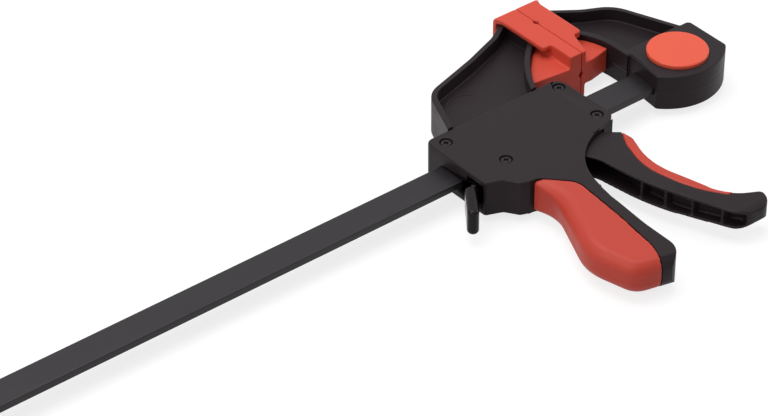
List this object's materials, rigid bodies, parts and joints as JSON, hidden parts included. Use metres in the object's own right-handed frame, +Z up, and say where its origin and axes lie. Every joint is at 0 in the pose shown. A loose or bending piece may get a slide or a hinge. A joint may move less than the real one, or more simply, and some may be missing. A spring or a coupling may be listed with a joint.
{
  "type": "quick release bar clamp",
  "caption": "One-handed bar clamp with flat steel bar, sliding pistol-grip head, squeeze trigger, release lever and red push button at the fixed jaw.",
  "frame": {"origin": "on the bar's centre line, in the plane where the two closed pads meet", "axes": "+X along the bar towards the fixed jaw, +Y towards the jaw tips, +Z up, out of the side with the screws, as the clamp lies on a bench"},
  "size_m": [0.5481, 0.2399, 0.033],
  "materials": {
    "moulded_casing": "moulded, fine satin grain",
    "lever_plastic": "moulded, glossy",
    "blackened_bar": "satin black finish on rolled steel",
    "red_pad": "soft moulded rubber, matt",
    "red_grip": "soft overmould, satin",
    "red_button": "moulded, satin",
    "plated_steel": "bright zinc plated",
    "black_screw": "black oxide",
    "spring_steel": "drawn wire",
    "hardened_plate": "blanked, case-hardened"
  },
  "bodies": {
    "bar": {"bar": "blackened_bar", "bar_end_stop": "plated_steel", "fixed_jaw": "moulded_casing", "fixed_jaw_pad": "red_pad", "button_spring": "spring_steel"},
    "jaw_button": {"jaw_button": "red_button", "jaw_lock_pin": "plated_steel", "lock_pin_clip": "spring_steel"},
    "clamp_head": {"head_housing": "moulded_casing", "head_cover": "moulded_casing", "cover_screws": "black_screw", "grip_overmould": "red_grip", "moving_jaw_pad": "red_pad", "trigger_pivot_pin": "plated_steel", "release_pivot_pin": "plated_steel"},
    "trigger": {"trigger": "moulded_casing", "trigger_insert": "red_grip"},
    "drive_plates": {"drive_plates": "hardened_plate", "drive_spring": "spring_steel"},
    "release_lever": {"release_lever": "lever_plastic", "brake_plate": "hardened_plate", "brake_spring": "spring_steel"}
  },
  "joints": [
    {"name": "head_slide", "type": "slide", "parent": "bar", "child": "clamp_head", "axis": [-1, 0, 0], "range_m": [0, 0.315]},
    {"name": "trigger_squeeze", "type": "hinge", "parent": "clamp_head", "child": "trigger", "pos_m": [-0.0405, 0.0152, 0], "axis": [0, 0, -1], "range_deg": [0, 14], "stiffness_Nm_per_rad": 0.6, "springref_deg": -11.46},
    {"name": "plates_push", "type": "slide", "parent": "clamp_head", "child": "drive_plates", "axis": [-1, 0, 0], "range_m": [0, 0.008]},
    {"name": "release_press", "type": "hinge", "parent": "clamp_head", "child": "release_lever", "pos_m": [-0.1135, -0.0163, 0], "axis": [0, 0, 1], "range_deg": [0, 6], "stiffness_Nm_per_rad": 0.3, "springref_deg": -8.59},
    {"name": "jaw_button_press", "type": "slide", "parent": "bar", "child": "jaw_button", "axis": [0, 0, -1], "range_m": [0, 0.0052], "stiffness_N_per_m": 900, "springref_m": -0.003, "deforming": ["button_spring"]}
  ],
  "couplings": [
    {"joint": "plates_push", "follows": "trigger_squeeze", "m_per_rad": 0.03274}
  ]
}
